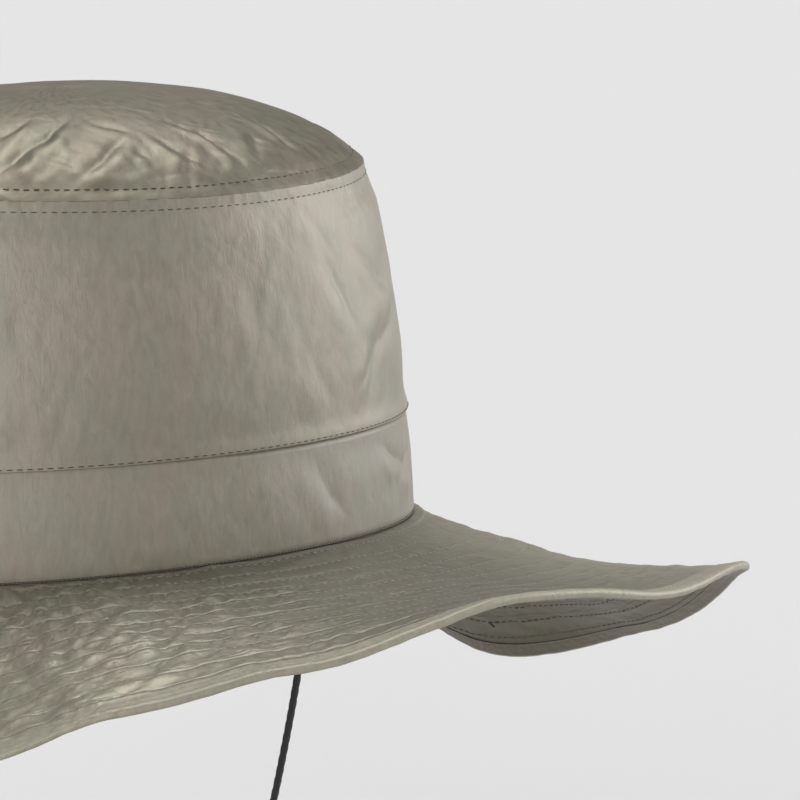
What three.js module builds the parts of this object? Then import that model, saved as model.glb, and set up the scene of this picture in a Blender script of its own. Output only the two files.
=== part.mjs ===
// A soft nylon sun hat: an oval crown sewn from a domed tip, a side and a band, a wide saddle-shaped brim
// with a folded tape over its edge, and a chin cord that hangs in one loop.
// Millimetres, +Z up. The wearer looks along -Y and +X is the wearer's left. The origin is the centre of
// the head opening, level with the seam of crown and brim.

import * as THREE from 'three';

// Driving dimensions
const HEAD_WIDTH = 174;
const HEAD_LENGTH = 198;
const CROWN_HEIGHT = 93.8;
const BAND_HEIGHT = 28.7;
const TIP_RISE = 19.3;
const BRIM_WIDTH = 90;
const CROWN_CLOTH = 1.2;
const BRIM_CLOTH = 1.6;
const TAPE_CLOTH = 1;
const TAPE_LEG = 5;
const CORD_DIAMETER = 2;
const SEAM_GAP = 0.3;

// The base seam is this much higher at the wearer's sides than at front and back, the top seam lower.
const BASE_SADDLE = 4;
const TOP_SADDLE = -2;

// How sharply the tip turns down to its seam, and how the brim's slope changes from crown to rim.
const TIP_POWER = 2.8;
const BRIM_CURL_POWER = 1.5;

// The side of the crown, from its base to its top: shares of the crown's height and of the head's oval.
const CROWN_PROFILE = [
  { height: 0, width: 1 },
  { height: 0.15, width: 0.993 },
  { height: 0.3, width: 0.976 },
  { height: 0.45, width: 0.968 },
  { height: 0.6, width: 0.951 },
  { height: 0.75, width: 0.924 },
  { height: 0.88, width: 0.898 },
  { height: 1, width: 0.86 },
];

// The brim's slope in degrees where it leaves the crown and at its rim, from the front (0) round the
// wearer's left side (90) to the back (180). The right side is its mirror image.
const BRIM_SLOPES = [
  { azimuth: 0, crown: -34, rim: -39 },
  { azimuth: 40, crown: -22, rim: -8 },
  { azimuth: 60, crown: -5, rim: -7.5 },
  { azimuth: 90, crown: -7, rim: 15 },
  { azimuth: 120, crown: -14, rim: 12 },
  { azimuth: 140, crown: -20.5, rim: 5 },
  { azimuth: 160, crown: -33.5, rim: -21 },
  { azimuth: 180, crown: -33.5, rim: -52.5 },
];

// Ripples of the rim, mirrored like the slopes: how far each lifts the rim, as a share of the brim's
// width, and how many degrees it spreads to each side.
const RIM_RIPPLES = [
  { azimuth: 8, lift: 0.012, spread: 9 },
  { azimuth: 24, lift: -0.011, spread: 8 },
  { azimuth: 38, lift: 0.013, spread: 7 },
  { azimuth: 51, lift: 0.017, spread: 4 },
  { azimuth: 57.5, lift: -0.01, spread: 5 },
  { azimuth: 64, lift: 0.028, spread: 5 },
  { azimuth: 76, lift: 0.011, spread: 6 },
  { azimuth: 84, lift: 0.014, spread: 5 },
  { azimuth: 104, lift: -0.031, spread: 8 },
  { azimuth: 112, lift: -0.019, spread: 8 },
  { azimuth: 118, lift: 0.006, spread: 7 },
  { azimuth: 125, lift: 0.007, spread: 8 },
  { azimuth: 133, lift: -0.003, spread: 8 },
  { azimuth: 150, lift: -0.014, spread: 7 },
  { azimuth: 166, lift: -0.005, spread: 7 },
];
const RIPPLE_REACH_POWER = 3;

// Half of the chin cord's route, from inside the seam at the wearer's left to the bottom of the loop.
// It hangs as a chain does, a little behind the middle of the head opening.
const CORD_BACKSET = 13;
const CORD_HALF_ROUTE = [
  { x: 84.7, z: 5 },
  { x: 84.7, z: 0 },
  { x: 82, z: -14.5 },
  { x: 78, z: -32.6 },
  { x: 73, z: -52.5 },
  { x: 67, z: -72.9 },
  { x: 60, z: -92.6 },
  { x: 52, z: -110.7 },
  { x: 43, z: -126.2 },
  { x: 33, z: -138.8 },
  { x: 22, z: -148.1 },
  { x: 11, z: -153.3 },
  { x: 0, z: -155 },
];

// Fineness of the meshes
const CROWN_AZIMUTHS = 64;
const BRIM_AZIMUTHS = 120;
const TIP_RINGS = 6;
const SIDE_ROWS = 6;
const BAND_ROWS = 2;
const BRIM_ROWS = 5;
const SLOPE_STEPS = 24;
const CORD_SIDES = 8;
const CORD_STEPS = 72;

const HALF_WIDTH = HEAD_WIDTH / 2 + CROWN_CLOTH;
const HALF_LENGTH = HEAD_LENGTH / 2 + CROWN_CLOTH;
const TAPE_START = BRIM_WIDTH - TAPE_LEG;

// A smooth curve through rows of a table that never overshoots them.
function through(rows, key, value, at) {
  const last = rows.length - 1;
  const chord = (i) => (rows[i + 1][value] - rows[i][value]) / (rows[i + 1][key] - rows[i][key]);
  const slope = (i) => {
    if (i === 0 || i === last) {
      return 0;
    }
    const before = chord(i - 1);
    const after = chord(i);
    return before * after > 0 ? (2 * before * after) / (before + after) : 0;
  };
  let i = 0;
  while (i < last - 1 && at > rows[i + 1][key]) {
    i += 1;
  }
  const step = rows[i + 1][key] - rows[i][key];
  const t = (at - rows[i][key]) / step;
  const rise = rows[i + 1][value] - rows[i][value];
  const startSlope = slope(i) * step;
  const endSlope = slope(i + 1) * step;
  const bend = t * t * (3 - 2 * t) * rise;
  return rows[i][value] + bend + t * (1 - t) * ((1 - t) * startSlope - t * endSlope);
}

// Degrees from the front, the same on both sides of the wearer.
function mirrored(azimuth) {
  const degrees = THREE.MathUtils.euclideanModulo(THREE.MathUtils.radToDeg(azimuth), 360);
  return degrees > 180 ? 360 - degrees : degrees;
}

// A point of the outer oval scaled in plan by share, then moved along its own plan normal by grow.
function ovalPoint(azimuth, share, grow) {
  const normal = new THREE.Vector2(HALF_LENGTH * Math.sin(azimuth), -HALF_WIDTH * Math.cos(azimuth));
  const point = new THREE.Vector2(HALF_WIDTH * Math.sin(azimuth), -HALF_LENGTH * Math.cos(azimuth));
  return point.multiplyScalar(share).addScaledVector(normal.normalize(), grow);
}

function baseHeight(azimuth) {
  return (-BASE_SADDLE / 2) * Math.cos(2 * azimuth);
}

function topHeight(azimuth) {
  return CROWN_HEIGHT - (TOP_SADDLE / 2) * Math.cos(2 * azimuth);
}

// A point of the crown's wall, at a share of its height, moved by grow from the outer face.
function wallPoint(azimuth, share, grow, lift = 0) {
  const plan = ovalPoint(azimuth, through(CROWN_PROFILE, 'height', 'width', share), grow);
  const height = THREE.MathUtils.lerp(baseHeight(azimuth), topHeight(azimuth), share);
  return new THREE.Vector3(plan.x, plan.y, height + lift);
}

function rippleLift(azimuth) {
  const degrees = mirrored(azimuth);
  return RIM_RIPPLES.reduce((lift, row) => {
    const away = (degrees - row.azimuth) / row.spread;
    return lift + row.lift * BRIM_WIDTH * Math.exp(-away * away);
  }, 0);
}

// A point of the brim: along is the way from the crown over the cloth, and depth is below its top face.
function brimPoint(azimuth, along, depth) {
  const degrees = mirrored(azimuth);
  const crownSlope = through(BRIM_SLOPES, 'azimuth', 'crown', degrees);
  const rimSlope = through(BRIM_SLOPES, 'azimuth', 'rim', degrees);
  const slopeAt = (share) => {
    const curl = Math.min(share, 1) ** BRIM_CURL_POWER;
    return THREE.MathUtils.degToRad(THREE.MathUtils.lerp(crownSlope, rimSlope, curl));
  };
  let out = Math.min(along, 0);
  let height = baseHeight(azimuth);
  let slope = 0;
  if (along > 0) {
    const step = along / SLOPE_STEPS;
    for (let i = 0; i < SLOPE_STEPS; i += 1) {
      slope = slopeAt(((i + 0.5) * step) / BRIM_WIDTH);
      out += step * Math.cos(slope);
      height += step * Math.sin(slope);
    }
    height += rippleLift(azimuth) * (along / BRIM_WIDTH) ** RIPPLE_REACH_POWER;
  }
  const plan = ovalPoint(azimuth, 1, out + depth * Math.sin(slope));
  return new THREE.Vector3(plan.x, plan.y, height - depth * Math.cos(slope));
}

// Steps from start to end, both included.
function steps(start, end, count) {
  return Array.from({ length: count + 1 }, (_, i) => THREE.MathUtils.lerp(start, end, i / count));
}

// A closed body from the section at each azimuth. A section runs over the outer face first and back over
// the inner one. It closes on itself, or its two ends are poles on the axis.
function aroundHead(azimuths, section, hasPoles) {
  const sections = Array.from({ length: azimuths }, (_, i) => section((2 * Math.PI * i) / azimuths));
  const rows = sections[0].length;
  const vertices = sections.flat().flatMap((point) => [point.x, point.y, point.z]);
  const triangles = [];
  const rowPairs = hasPoles ? rows - 1 : rows;
  for (let i = 0; i < azimuths; i += 1) {
    const here = hasPoles ? 0 : i * rows;
    const next = ((i + 1) % azimuths) * rows;
    for (let j = 0; j < rowPairs; j += 1) {
      const k = (j + 1) % rows;
      const isFirst = hasPoles && j === 0;
      const isLast = hasPoles && k === rows - 1;
      const a = isFirst ? 0 : i * rows + j;
      const b = isLast ? k : i * rows + k;
      if (!isLast) {
        triangles.push(a, b, next + k);
      }
      if (!isFirst) {
        triangles.push(a, isLast ? here + k : next + k, next + j);
      }
    }
  }
  const geometry = new THREE.BufferGeometry();
  geometry.setAttribute('position', new THREE.Float32BufferAttribute(vertices, 3));
  geometry.setIndex(triangles);
  geometry.computeVertexNormals();
  return geometry;
}

// A wall of the crown between two shares of its height, each end moved by its own lift.
function crownWall(from, to, rows, fromLift) {
  const section = (azimuth) => {
    const point = (share, grow) => wallPoint(azimuth, share, grow, share === from ? fromLift : 0);
    const outer = steps(to, from, rows).map((share) => point(share, 0));
    const inner = steps(from, to, rows).map((share) => point(share, -CROWN_CLOTH));
    return [...outer, ...inner];
  };
  return aroundHead(CROWN_AZIMUTHS, section, false);
}

// The tip lies on the top edge of the side and reaches its outer face.
function tipShape() {
  const topShare = CROWN_PROFILE[CROWN_PROFILE.length - 1].width;
  const point = (azimuth, reach, depth) => {
    const plan = ovalPoint(azimuth, topShare * reach, 0);
    const seam = THREE.MathUtils.lerp(CROWN_HEIGHT, topHeight(azimuth), reach);
    const height = seam + SEAM_GAP + CROWN_CLOTH + TIP_RISE * (1 - reach ** TIP_POWER);
    return new THREE.Vector3(plan.x, plan.y, height - depth);
  };
  const section = (azimuth) => [
    ...steps(0, 1, TIP_RINGS).map((reach) => point(azimuth, reach, 0)),
    ...steps(1, 0, TIP_RINGS).map((reach) => point(azimuth, reach, CROWN_CLOTH)),
  ];
  return aroundHead(CROWN_AZIMUTHS, section, true);
}

// The brim starts under the crown's wall, flush with its inner face, and is flat under the tape's legs.
function brimShape() {
  const section = (azimuth) => {
    const alongs = [-CROWN_CLOTH, ...steps(0, TAPE_START, BRIM_ROWS), BRIM_WIDTH];
    const top = alongs.map((along) => brimPoint(azimuth, along, 0));
    const bottom = alongs.reverse().map((along) => brimPoint(azimuth, along, BRIM_CLOTH));
    return [...top, ...bottom];
  };
  return aroundHead(BRIM_AZIMUTHS, section, false);
}

// The tape is folded over the rim, with one leg on each face of the brim.
function bindingShape() {
  const inside = BRIM_WIDTH + SEAM_GAP;
  const outside = inside + TAPE_CLOTH;
  const innerTop = -SEAM_GAP;
  const outerTop = innerTop - TAPE_CLOTH;
  const innerBottom = BRIM_CLOTH + SEAM_GAP;
  const outerBottom = innerBottom + TAPE_CLOTH;
  const corner = [
    [TAPE_START, outerTop],
    [BRIM_WIDTH, outerTop],
    [outside, innerTop],
    [outside, innerBottom],
    [BRIM_WIDTH, outerBottom],
    [TAPE_START, outerBottom],
    [TAPE_START, innerBottom],
    [inside, innerBottom],
    [inside, innerTop],
    [TAPE_START, innerTop],
  ];
  const section = (azimuth) => corner.map(([along, depth]) => brimPoint(azimuth, along, depth));
  return aroundHead(BRIM_AZIMUTHS, section, false);
}

function cordShape() {
  const leftHalf = CORD_HALF_ROUTE.map((row) => new THREE.Vector3(row.x, CORD_BACKSET, row.z));
  const rightHalf = CORD_HALF_ROUTE.slice(0, -1).reverse();
  const points = [...leftHalf, ...rightHalf.map((row) => new THREE.Vector3(-row.x, CORD_BACKSET, row.z))];
  const round = steps(0, 2 * Math.PI, CORD_SIDES).slice(0, -1);
  const outline = round.map((turn) => new THREE.Vector2(Math.cos(turn), Math.sin(turn)));
  const section = new THREE.Shape(outline.map((point) => point.multiplyScalar(CORD_DIAMETER / 2)));
  return new THREE.ExtrudeGeometry(section, {
    steps: CORD_STEPS,
    extrudePath: new THREE.CatmullRomCurve3(points),
  });
}

function fabric(color, roughness, metalness) {
  return new THREE.MeshStandardMaterial({ color, roughness, metalness });
}

function piece(name, geometry, material) {
  const mesh = new THREE.Mesh(geometry, material);
  mesh.name = name;
  return mesh;
}

const bandShare = BAND_HEIGHT / CROWN_HEIGHT;
const sideShare = (BAND_HEIGHT + SEAM_GAP) / CROWN_HEIGHT;

const hat = new THREE.Group();
hat.add(piece('crown_tip', tipShape(), fabric('#8b8475', 0.55, 0.1)));
hat.add(piece('crown_side', crownWall(sideShare, 1, SIDE_ROWS, 0), fabric('#938c7e', 0.5, 0.1)));
hat.add(piece('crown_band', crownWall(0, bandShare, BAND_ROWS, SEAM_GAP), fabric('#8f887a', 0.5, 0.1)));
hat.add(piece('brim', brimShape(), fabric('#8a8373', 0.55, 0.1)));
hat.add(piece('brim_binding', bindingShape(), fabric('#a9a595', 0.5, 0.1)));
hat.add(piece('chin_cord', cordShape(), fabric('#202022', 0.7, 0)));

export default hat;
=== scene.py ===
"""A soft nylon sun hat with a bound brim and a chin cord, laid out as a Blender add-on.

Metres, +Z up. The wearer looks along -Y and +X is the wearer's left. Azimuths run from the front round
the wearer's left side, in radians. The cloth lies on the same forms as the solids of the frame.
"""

import math

import bpy
import numpy as np
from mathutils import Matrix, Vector, noise


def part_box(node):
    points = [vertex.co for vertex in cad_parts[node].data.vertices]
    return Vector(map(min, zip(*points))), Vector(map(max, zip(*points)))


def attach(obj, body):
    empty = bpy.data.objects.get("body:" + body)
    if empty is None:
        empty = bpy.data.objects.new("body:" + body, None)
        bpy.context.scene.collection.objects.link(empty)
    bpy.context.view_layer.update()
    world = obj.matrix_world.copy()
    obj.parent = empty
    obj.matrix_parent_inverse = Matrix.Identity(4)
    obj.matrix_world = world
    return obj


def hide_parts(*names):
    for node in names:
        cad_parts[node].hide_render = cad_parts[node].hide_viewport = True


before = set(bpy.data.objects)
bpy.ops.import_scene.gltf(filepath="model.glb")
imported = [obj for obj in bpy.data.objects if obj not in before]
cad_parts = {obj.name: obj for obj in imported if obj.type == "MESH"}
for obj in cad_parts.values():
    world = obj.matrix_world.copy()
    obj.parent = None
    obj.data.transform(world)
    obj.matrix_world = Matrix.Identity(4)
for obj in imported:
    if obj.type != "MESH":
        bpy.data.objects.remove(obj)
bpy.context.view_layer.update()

bl_info = {
    "name": "Soft sun hat",
    "version": (1, 0, 0),
    "blender": (4, 5, 0),
    "location": "View3D > Sidebar > Hat",
    "description": "Sews a crown, a stitched brim, a bound edge and a chin cord around the fixed frame",
    "category": "Object",
}

MM = 0.001
BODY = "root"

# The crown's side from its base to its top: shares of its height and of the head's oval.
CROWN_PROFILE = [
    (0, 1),
    (0.15, 0.993),
    (0.3, 0.976),
    (0.45, 0.968),
    (0.6, 0.951),
    (0.75, 0.924),
    (0.88, 0.898),
    (1, 0.86),
]

# The brim's slope, in degrees: azimuth from the front, slope at the crown, slope at the rim.
BRIM_SLOPES = [
    (0, -34, -39),
    (40, -22, -8),
    (60, -5, -7.5),
    (90, -7, 15),
    (120, -14, 12),
    (140, -20.5, 5),
    (160, -33.5, -21),
    (180, -33.5, -52.5),
]

# Ripples of the rim: azimuth in degrees, lift as a share of the brim's width, spread in degrees.
RIM_RIPPLES = [
    (8, 0.012, 9),
    (24, -0.011, 8),
    (38, 0.013, 7),
    (51, 0.017, 4),
    (57.5, -0.01, 5),
    (64, 0.028, 5),
    (76, 0.011, 6),
    (84, 0.014, 5),
    (104, -0.031, 8),
    (112, -0.019, 8),
    (118, 0.006, 7),
    (125, 0.007, 8),
    (133, -0.003, 8),
    (150, -0.014, 7),
    (166, -0.005, 7),
]
RIPPLE_REACH_POWER = 3
TIP_POWER = 2.8
BRIM_CURL_POWER = 1.5
SLOPE_STEPS = 24

# How much higher the base seam is at the sides than at front and back, and how much lower the top seam.
BASE_SADDLE = 4 * MM
TOP_SADDLE = -2 * MM
SEAM_GAP = 0.3 * MM

# Stitch rows: on either side of the tip's seam, beside the band's seam, over the crown's base, the brim's
# first one from the crown and its last one from the tape, and the tape's two from its edge.
TIP_ROW = 2.8 * MM
BAND_ROW = -0.1 * MM
# The row over the crown's base is sewn heavy and dark, as painted shadow in the seam.
BASE_ROW = 0.6 * MM
FIRST_ROW = 3.6 * MM
LAST_ROW_GAP = 2 * MM
TAPE_ROWS = (1 * MM, 3.4 * MM)

# How far the tape stands off the brim, how far the band reaches up behind the side panel, how deep the
# edges of both lie in their seams, and how the tip's edge rolls down to its seam.
TAPE_GAP = 0.03 * MM
BAND_LAP = 1.2 * MM
SEAM_SUNK = 0.3 * MM
TIP_EDGE_HEIGHT = 0.15 * MM
TIP_ROLL = 5 * MM

# Pulled folds: azimuth in degrees and place across the panel at one end, the same at the other end, width
# and depth. On the tip the place is a distance in from the seam, on the side a height. The same folds lie
# on the wearer's right, turned round the head by so many degrees.
FOLDS_TURN = 187
TIP_FOLDS = [
    (41, 6 * MM, 55, 29 * MM, 2.6 * MM, 1.3 * MM),
    (57, 5 * MM, 69, 20 * MM, 1.9 * MM, 1 * MM),
    (50, 14 * MM, 58, 9 * MM, 1.2 * MM, 0.5 * MM),
    (77, 20 * MM, 83, 8 * MM, 1.8 * MM, 0.9 * MM),
    (91, 21 * MM, 92.5, 7 * MM, 1.8 * MM, 0.9 * MM),
    (86, 27 * MM, 94, 16 * MM, 1.7 * MM, 0.7 * MM),
    (105, 18 * MM, 99, 9 * MM, 1.5 * MM, 0.6 * MM),
    (38, 20 * MM, 45, 30 * MM, 2 * MM, 0.8 * MM),
    (71, 16 * MM, 73, 10 * MM, 1.3 * MM, 0.5 * MM),
    (81, 12 * MM, 78, 4 * MM, 1.2 * MM, 0.4 * MM),
    (63, 30 * MM, 72, 23 * MM, 1.6 * MM, 0.6 * MM),
    (116, 22 * MM, 112, 8 * MM, 2 * MM, 0.9 * MM),
]
SIDE_FOLDS = [
    (104, 78 * MM, 110, 56 * MM, 3.4 * MM, 0.8 * MM),
    (137, 61 * MM, 117, 49 * MM, 3.4 * MM, 0.9 * MM),
    (115, 47 * MM, 110, 40 * MM, 1.8 * MM, 0.7 * MM),
    (114, 76 * MM, 127, 61 * MM, 2.8 * MM, 0.6 * MM),
    (134, 90 * MM, 110, 84 * MM, 2.4 * MM, 0.6 * MM),
    (101, 88 * MM, 108, 74 * MM, 2.6 * MM, 0.4 * MM),
    (84, 76 * MM, 92, 44 * MM, 4.5 * MM, 0.25 * MM),
    (120, 56 * MM, 112, 34 * MM, 3.6 * MM, 0.6 * MM),
    (97, 52 * MM, 103, 33 * MM, 3.4 * MM, 0.3 * MM),
]

BAND_FOLDS = [
    (116, 22 * MM, 130, 14 * MM, 2.4 * MM, 0.8 * MM),
    (122, 12 * MM, 134, 18 * MM, 2.6 * MM, 0.7 * MM),
    (96, 24 * MM, 103, 8 * MM, 3 * MM, 0.5 * MM),
    (68, 22 * MM, 73, 6 * MM, 3.4 * MM, 0.4 * MM),
]

# Half of the chin cord's route, x and z, from inside the seam to the bottom of the loop.
CORD_BACKSET = 13 * MM
CORD_HALF_ROUTE = [
    (84.7 * MM, 5 * MM),
    (84.7 * MM, 0 * MM),
    (82 * MM, -14.5 * MM),
    (78 * MM, -32.6 * MM),
    (73 * MM, -52.5 * MM),
    (67 * MM, -72.9 * MM),
    (60 * MM, -92.6 * MM),
    (52 * MM, -110.7 * MM),
    (43 * MM, -126.2 * MM),
    (33 * MM, -138.8 * MM),
    (22 * MM, -148.1 * MM),
    (11 * MM, -153.3 * MM),
    (0 * MM, -155 * MM),
]

CORD_ROWS = 480
BRAID_PITCH = 3.2 * MM

# The tack under the back of the brim: azimuth in degrees, place along the cloth, length and width.
BACK_TACK = (177.4, 77 * MM, 2.4 * MM, 1.3 * MM)
# The tacks that hold the cord: how far under its ends, length and width.
CORD_TACK = (1.5 * MM, 3 * MM, 3.4 * MM)
# A stitch of a tack is thicker than a row's thread by this much.
TACK_THREAD = 1.4

# The wave node repeats about every 0.314 units at scale 1.
WAVE_TURN = 0.314
# The real yarns lie 0.3 mm apart. They are drawn at 0.8 mm so that they show in the render.
YARN = 0.8 * MM

SENSOR = 36
IMAGE_SIDE = 800
CAMERA_AZIMUTH = 45
CAMERA_ELEVATION = 9
CAMERA_DISTANCE = 1.25
# Pixels of the photograph for each metre of width at one metre's distance.
FOCAL_PIXELS = 4711
AIM_RIGHT = 90.6 * MM
AIM_UP = 31.1 * MM
FLOOR_HEIGHT = -0.2
FLOOR_RADIUS = 14

# Wide soft boxes, far off: name, azimuth, elevation and spread in degrees, strength.
LIGHTS = [
    ("top_light", 225, 67, 30, 1.4),
    ("key_light", 158, 10, 52, 2.5),
    ("front_light", 26, 4, 60, 2.5),
]
# Brightness of the studio from the horizon (0) to straight above (1).
SKY = [(0.0, 0.77), (0.05, 0.77), (0.1, 0.14), (0.4, 0.16), (1.0, 0.62)]

BAND_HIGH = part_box("crown_band")[1]
SIDE_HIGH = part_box("crown_side")[1]
TIP_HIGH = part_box("crown_tip")[1]


def linear(code):
    """The linear colour of an sRGB hex value."""
    shares = [int(code[i : i + 2], 16) / 255 for i in (1, 3, 5)]
    return [c / 12.92 if c <= 0.04045 else ((c + 0.055) / 1.055) ** 2.4 for c in shares]


def length_of(name, description, default):
    return bpy.props.FloatProperty(name=name, description=description, default=default, unit="LENGTH")


def colour_of(name, description, code):
    return bpy.props.FloatVectorProperty(
        name=name, description=description, default=linear(code), subtype="COLOR", min=0, max=1
    )


class HatSizes(bpy.types.PropertyGroup):
    """The hat's sizes, taken from the frame where it has them."""

    half_width: length_of("Half width", "Outside of the crown at its base, to the side", BAND_HIGH.x)
    half_length: length_of("Half length", "Outside of the crown at its base, to the front", BAND_HIGH.y)
    crown_height: length_of("Crown height", "Height of the crown's side", SIDE_HIGH.z + TOP_SADDLE / 2)
    band_height: length_of("Band height", "Height of the lower panel", 28.7 * MM)
    crown_cloth: length_of("Crown cloth", "Thickness of the crown's cloth", 1.2 * MM)
    brim_width: length_of("Brim width", "Width of the brim over the cloth", 90 * MM)
    brim_cloth: length_of("Brim cloth", "Thickness of the brim's two layers", 1.6 * MM)
    row_spacing: length_of("Row spacing", "Distance of the brim's stitch rows", 7.2 * MM)
    tape_leg: length_of("Tape leg", "Width of the edge tape on each face", 5 * MM)
    tape_cloth: length_of("Tape cloth", "Thickness of the edge tape", 0.22 * MM)
    cord_diameter: length_of("Cord diameter", "Thickness of the chin cord", 2 * MM)
    stitch_length: length_of("Stitch length", "Length of one stitch with its gap", 2.5 * MM)
    thread: length_of("Thread", "Thickness of the sewing thread", 0.36 * MM)


class HatColours(bpy.types.PropertyGroup):
    """The hat's colours."""

    crown: colour_of("Crown", "Nylon of the crown", "#8D867A")
    # Painted shade: the tip is the crown's nylon drawn darker, for the shade on its upturned top.
    tip: colour_of("Tip", "Nylon of the tip", "#7B7568")
    # Painted shade: the brim's top is the crown's nylon drawn darker, for its upturned face.
    brim: colour_of("Brim", "Nylon of the brim", "#706C61")
    # Painted shade: the brim's under layer is the same nylon drawn darker, for the shade under the brim.
    # The tape's under leg and its thread take this colour too.
    under: colour_of("Under", "Under layer of the brim", "#6B6557")
    # Painted light: the tape is the brim's nylon drawn paler, for the light on its fold over the rim.
    tape: colour_of("Tape", "Tape over the rim", "#979283")
    # Partly painted shade: the thread's own colour, drawn as dark as the shadow in the needle holes and the
    # shadow lines along the seams.
    thread: colour_of("Thread", "Sewing thread", "#4C473B")
    tape_thread: colour_of("Tape thread", "Sewing thread on the tape and the brim", "#8C8677")
    cord: colour_of("Cord", "Chin cord", "#131314")
    floor: colour_of("Floor", "Studio floor", "#DEDEDE")


def sizes():
    return bpy.context.scene.hat_sizes


def colours():
    return bpy.context.scene.hat_colours


# Forms of the cloth


def through(rows, column, at):
    """A smooth curve through one column of a table, against its first column, that never overshoots."""
    keys = np.array([row[0] for row in rows], float)
    values = np.array([row[column] for row in rows], float)
    chords = np.diff(values) / np.diff(keys)
    before, after = chords[:-1], chords[1:]
    same_way = before * after > 0
    total = np.where(same_way, before + after, 1)
    slopes = np.concatenate([[0], np.where(same_way, 2 * before * after / total, 0), [0]])
    i = np.clip(np.searchsorted(keys, at, side="left") - 1, 0, len(keys) - 2)
    step = keys[i + 1] - keys[i]
    t = (at - keys[i]) / step
    bend = t * t * (3 - 2 * t) * (values[i + 1] - values[i])
    return values[i] + bend + t * (1 - t) * step * ((1 - t) * slopes[i] - t * slopes[i + 1])


def mirrored(azimuth):
    """Degrees from the front, the same on both sides of the wearer."""
    degrees = np.mod(np.degrees(azimuth), 360)
    return np.where(degrees > 180, 360 - degrees, degrees)


def oval(azimuth, share, grow):
    """Plan points of the crown's outer oval, scaled by share and moved outwards by grow."""
    size = sizes()
    point = np.stack([size.half_width * np.sin(azimuth), -size.half_length * np.cos(azimuth)], -1)
    normal = np.stack([size.half_length * np.sin(azimuth), -size.half_width * np.cos(azimuth)], -1)
    normal /= np.linalg.norm(normal, axis=-1, keepdims=True)
    return point * np.asarray(share)[..., None] + normal * np.asarray(grow)[..., None]


def base_height(azimuth):
    return -BASE_SADDLE / 2 * np.cos(2 * azimuth)


def top_height(azimuth):
    return sizes().crown_height - TOP_SADDLE / 2 * np.cos(2 * azimuth)


def raised(plan, height):
    return np.concatenate([plan, height[..., None]], -1)


def near(distance, width):
    """1 at no distance, falling to nothing over a few widths."""
    return np.exp(-((distance / width) ** 2))


def wall_form(azimuth, share):
    """The outer face of the crown's side at a share of its height."""
    plan = oval(azimuth, through(CROWN_PROFILE, 1, share), np.zeros_like(share))
    return raised(plan, base_height(azimuth) * (1 - share) + top_height(azimuth) * share)


def tip_form(azimuth, reach):
    """The top face of the tip, from its middle (0) to its seam (1)."""
    size = sizes()
    plan = oval(azimuth, CROWN_PROFILE[-1][1] * reach, np.zeros_like(reach))
    rise = TIP_HIGH.z - size.crown_height - SEAM_GAP - size.crown_cloth
    seam = size.crown_height * (1 - reach) + top_height(azimuth) * reach
    over_seam = SEAM_GAP + size.crown_cloth
    inwards = (1 - reach) * size.half_width * CROWN_PROFILE[-1][1]
    rolled = (over_seam - TIP_EDGE_HEIGHT) * near(inwards, TIP_ROLL)
    return raised(plan, seam + over_seam - rolled + rise * (1 - np.abs(reach) ** TIP_POWER))


def brim_form(azimuth, along, depth=0.0):
    """The brim's top face, along its cloth from the crown, or a face at some depth below it."""
    width = sizes().brim_width
    degrees = mirrored(azimuth)
    crown_slope = through(BRIM_SLOPES, 1, degrees)
    rim_slope = through(BRIM_SLOPES, 2, degrees)
    out = np.minimum(along, 0)
    height = base_height(azimuth)
    step = np.maximum(along, 0) / SLOPE_STEPS
    for i in range(SLOPE_STEPS):
        curl = np.minimum((i + 0.5) * step / width, 1) ** BRIM_CURL_POWER
        slope = np.radians(crown_slope + (rim_slope - crown_slope) * curl)
        out = out + step * np.cos(slope)
        height = height + step * np.sin(slope)
    slope = np.where(along > 0, slope, 0)
    ripple = sum(lift * np.exp(-(((degrees - at) / spread) ** 2)) for at, lift, spread in RIM_RIPPLES)
    height = height + ripple * width * (np.maximum(along, 0) / width) ** RIPPLE_REACH_POWER
    plan = oval(azimuth, np.ones_like(along), out + depth * np.sin(slope))
    return raised(plan, height - depth * np.cos(slope))


# Wrinkles of the cloth


def soft_noise(points, size, seed, octaves=3):
    """Smooth swells, about -1 to 1, of the given size."""
    spots = np.asarray(points) / size + seed * 7.31
    return np.array([noise.fractal(spot, 1, 2, octaves) for spot in spots])


def creased_noise(points, size, seed, octaves=3):
    """Sharp ridges, about -1 to 1, of the given size."""
    spots = np.asarray(points) / size + seed * 7.31
    return np.array([noise.ridged_multi_fractal(spot, 1, 2, octaves, 1, 2) for spot in spots]) - 1


def leaning(azimuth, across, lean, stretch, radius):
    """Places on a drum, so that a wrinkle that runs across leans by lean and is longer by stretch."""
    turned = azimuth + lean * across / radius
    return np.stack([radius * np.cos(turned), radius * np.sin(turned), across / stretch], -1)


def folded(azimuth, across, folds, radius):
    """Pulled folds: each a narrow valley with a softer ridge beside it, faded out at both ends."""
    height = np.zeros_like(azimuth)
    wander = 1.3 * MM * soft_noise(leaning(azimuth, across, 0, 1, radius), 12 * MM, 21, 2)
    for start, low, end, high, width, depth in folds:
        for turn in (0, FOLDS_TURN):
            first = np.array([math.radians(start + turn) * radius, low])
            line = np.array([math.radians(end + turn) * radius, high]) - first
            length = np.linalg.norm(line)
            line = line / length
            round_head = np.mod(azimuth - math.radians(start + turn) + math.pi, 2 * math.pi) - math.pi
            x = round_head * radius
            y = across - low
            way = (x * line[0] + y * line[1]) / length
            off = x * line[1] - y * line[0] + wander
            fade = np.clip(way + 0.25, 0, 1) * np.clip(1.25 - way, 0, 1) * 2
            fade = np.clip(fade, 0, 1) ** 1.5
            valley = np.exp(-np.abs(off) / (0.75 * width))
            ridge = near(off - 1.7 * width, 1.3 * width)
            height = height + depth * fade * (0.6 * ridge - valley)
    return height


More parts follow.
